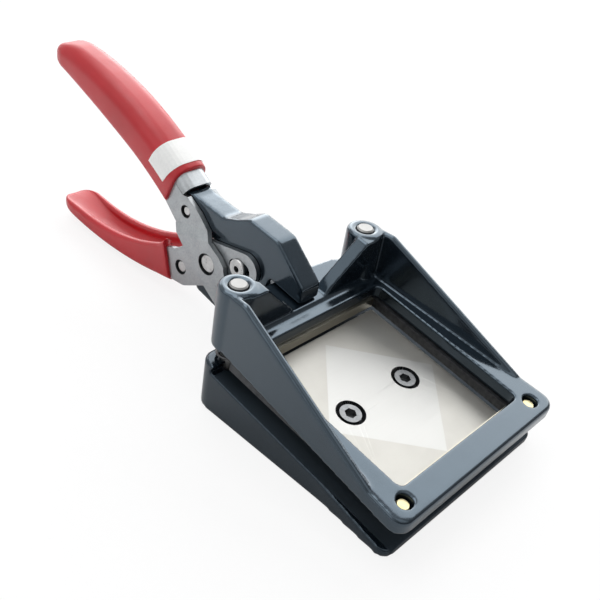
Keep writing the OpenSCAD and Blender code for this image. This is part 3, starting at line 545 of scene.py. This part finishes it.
def lower_ring(s, inset):
    """Ring across the lower grip at a distance from its mouth."""
    f = s / LOW_L
    y = LOW_MOUTH + s
    k = round_off(y, LOW_TIP, TIP_L)
    x = max(0.05, LOW_X * round_off(y, LOW_TIP, LOW_BLUNT_L) - inset)
    under = LOW_AT[1] + sag(y - LOW_AT[0], LOW_BOW_R)
    edge = LOW_AT[1] + RIM_RISE + sag(y - LOW_AT[0] - RIM_BACK, RIM_BOW_R)
    low = LOW_MIDDLE + (under - LOW_MIDDLE) * k + inset
    top = LOW_MIDDLE + (edge - LOW_MIDDLE) * k - inset
    r = min(RIM_R, 0.45 * x, 0.24 * max(THIN, top - low))
    q = min(FOOT_R, 0.6 * x, 0.45 * max(THIN, top - low))
    deep = max(0.25 * k, (TROUGH_D - TROUGH_FADE * f) * k)
    inner = 90 + 90 * min(1, max(0, (ROLL_END - f) / ROLL_SHARE))
    fx = x - r + r * math.cos(math.radians(inner))
    fz = top - r + r * math.sin(math.radians(inner))
    trough = [math.radians(180 * i / 16) for i in range(1, 16)]
    ring = (arc(q - x, low + q, q, 180, 270, 7) + arc(x - q, low + q, q, 270, 360, 7)
            + arc(x - r, top - r, r, 0, inner, 9)
            + [(fx * math.cos(t), fz - deep * math.sin(t)) for t in trough]
            + arc(r - x, top - r, r, 180 - inner, 180, 9))
    slant = SLANT * max(0.0, 1 - s / SLANT_L)
    return [(px, y + slant * (b - SLANT_Z), b) for px, b in ring]


def stations(length):
    """Distance from the mouth and inset of each ring, closer together at the mouth and the tip."""
    near = length - TIP_RUN
    rolled = [math.radians(t) for t in (0, 25, 45, 65, 90)]
    marks = [(ROLL * (1 - math.cos(t)), ROLL * (1 - math.sin(t))) for t in rolled]
    marks += [(ROLL + (near - ROLL) * i / 44, 0.0) for i in range(1, 45)]
    marks += [(near + (TIP_RUN - 0.01) * math.sin(math.radians(90 * i / 14)), 0.0) for i in range(1, 15)]
    return marks


def grip(node, body, section, length):
    """A closed skin over rings that run from the mouth to the tip."""
    rings = []
    for s, inset in stations(length):
        rings.append([(x * MM, y * MM, z * MM) for x, y, z in section(s, inset)])
    obj = loft(node + "_skin", rings, red)
    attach(obj, body)
    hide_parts(node)


grip("upper_grip", "base", upper_ring, GRIP_L)
grip("lower_grip", "lower_handle", lower_ring, LOW_L)

# Camera: place and axes fitted to the photograph
IMAGE = 600  # pixels across
FOCAL = 873.81  # pixels
AXIS = (298.75, 299.57)  # pixel on the view axis
RIGHT = Vector((0.682299, -0.716329, 0.146086))
UP = Vector((0.332782, 0.482237, 0.810372))
PLACE = Vector((-160.102, -90.117, 163.090)) * MM

cam_data = bpy.data.cameras.new("camera")
cam_data.sensor_width = 36
cam_data.lens = FOCAL * cam_data.sensor_width / IMAGE
cam_data.shift_x = (IMAGE / 2 - AXIS[0]) / IMAGE
cam_data.shift_y = (AXIS[1] - IMAGE / 2) / IMAGE
cam_data.clip_start = 0.01
cam = bpy.data.objects.new("camera", cam_data)
cam.matrix_world = Matrix((RIGHT, UP, RIGHT.cross(UP))).transposed().to_4x4()
cam.matrix_world.translation = PLACE
bpy.context.scene.collection.objects.link(cam)
bpy.context.scene.camera = cam

# Studio
MIDDLE = (0, 0.03, 0.02)  # where most lamps aim


def lamp(name, place, width, height, power, aim=MIDDLE):
    data = bpy.data.lights.new(name, "AREA")
    data.shape = "RECTANGLE"
    data.size = width
    data.size_y = height
    data.energy = power
    obj = bpy.data.objects.new(name, data)
    obj.location = place
    obj.rotation_euler = (Vector(aim) - Vector(place)).to_track_quat("-Z", "Y").to_euler()
    bpy.context.scene.collection.objects.link(obj)


lamp("window_right", (0.68, 0.27, 0.47), 0.95, 0.80, 6.7)
lamp("window_rear", (0.43, 0.69, 0.30), 0.6, 0.5, 2.4)
lamp("overhead", (-0.03, 0.33, 0.86), 0.7, 0.5, 3.3, aim=(0, 0.08, 0.05))
lamp("fill_left", (-0.55, 0.25, 0.45), 0.5, 0.5, 0.6)
lamp("front_top", (-0.05, -0.35, 0.70), 0.6, 0.6, 0.9)


def studio_world():
    """A white room for the camera and for reflections, dimmer towards the front, and a weak even light."""
    world = bpy.data.worlds.new("studio")
    world.use_nodes = True
    t = Tree(world.node_tree)
    ambient = t.tree.nodes["Background"]
    ambient.inputs["Color"].default_value = (0.96, 0.98, 1.0, 1)
    ambient.inputs["Strength"].default_value = 0.3
    white = t.add("ShaderNodeBackground")
    white.inputs["Color"].default_value = (1, 1, 1, 1)
    ray = t.add("ShaderNodeLightPath").outputs
    toward = t.add("ShaderNodeSeparateXYZ")
    t.link(t.add("ShaderNodeTexCoord").outputs["Generated"], toward.inputs["Vector"])
    dim = t.map_range(toward.outputs["Y"], -0.6, 0.1, low=0.3)
    t.link(t.calc("MAXIMUM", ray["Is Camera Ray"], dim), white.inputs["Strength"])
    seen = t.calc("MAXIMUM", ray["Is Camera Ray"], ray["Is Glossy Ray"])
    room = t.mix(seen, ambient.outputs["Background"], white.outputs["Background"])
    t.link(room, t.tree.nodes["World Output"].inputs["Surface"])
    return world


def paper_floor(reach=20.0, drop=0.0003, glow=0.85):
    """White paper under the object, which mostly glows for the camera, so that its shadow stays light."""
    mesh = bpy.data.meshes.new("floor")
    corners = [(-reach, -reach, 0), (reach, -reach, 0), (reach, reach, 0), (-reach, reach, 0)]
    mesh.from_pydata(corners, [], [(0, 1, 2, 3)])
    s = Shader("floor_paper")
    s.set(Base_Color=s.ramp(s.noise(300, 3), (0.90, 0.90, 0.90), (0.93, 0.93, 0.93)), Roughness=0.8)
    light = s.add("ShaderNodeEmission")
    light.inputs["Strength"].default_value = 1.0
    seen = s.calc("MULTIPLY", s.add("ShaderNodeLightPath").outputs["Is Camera Ray"], glow)
    both = s.mix(seen, s.bsdf.outputs["BSDF"], light.outputs["Emission"])
    s.link(both, s.tree.nodes["Material Output"].inputs["Surface"])
    mesh.materials.append(s.mat)
    floor = bpy.data.objects.new("floor", mesh)
    floor.location.z = -drop
    bpy.context.scene.collection.objects.link(floor)


bpy.context.scene.world = studio_world()
paper_floor()
bpy.context.scene.view_settings.view_transform = "Standard"
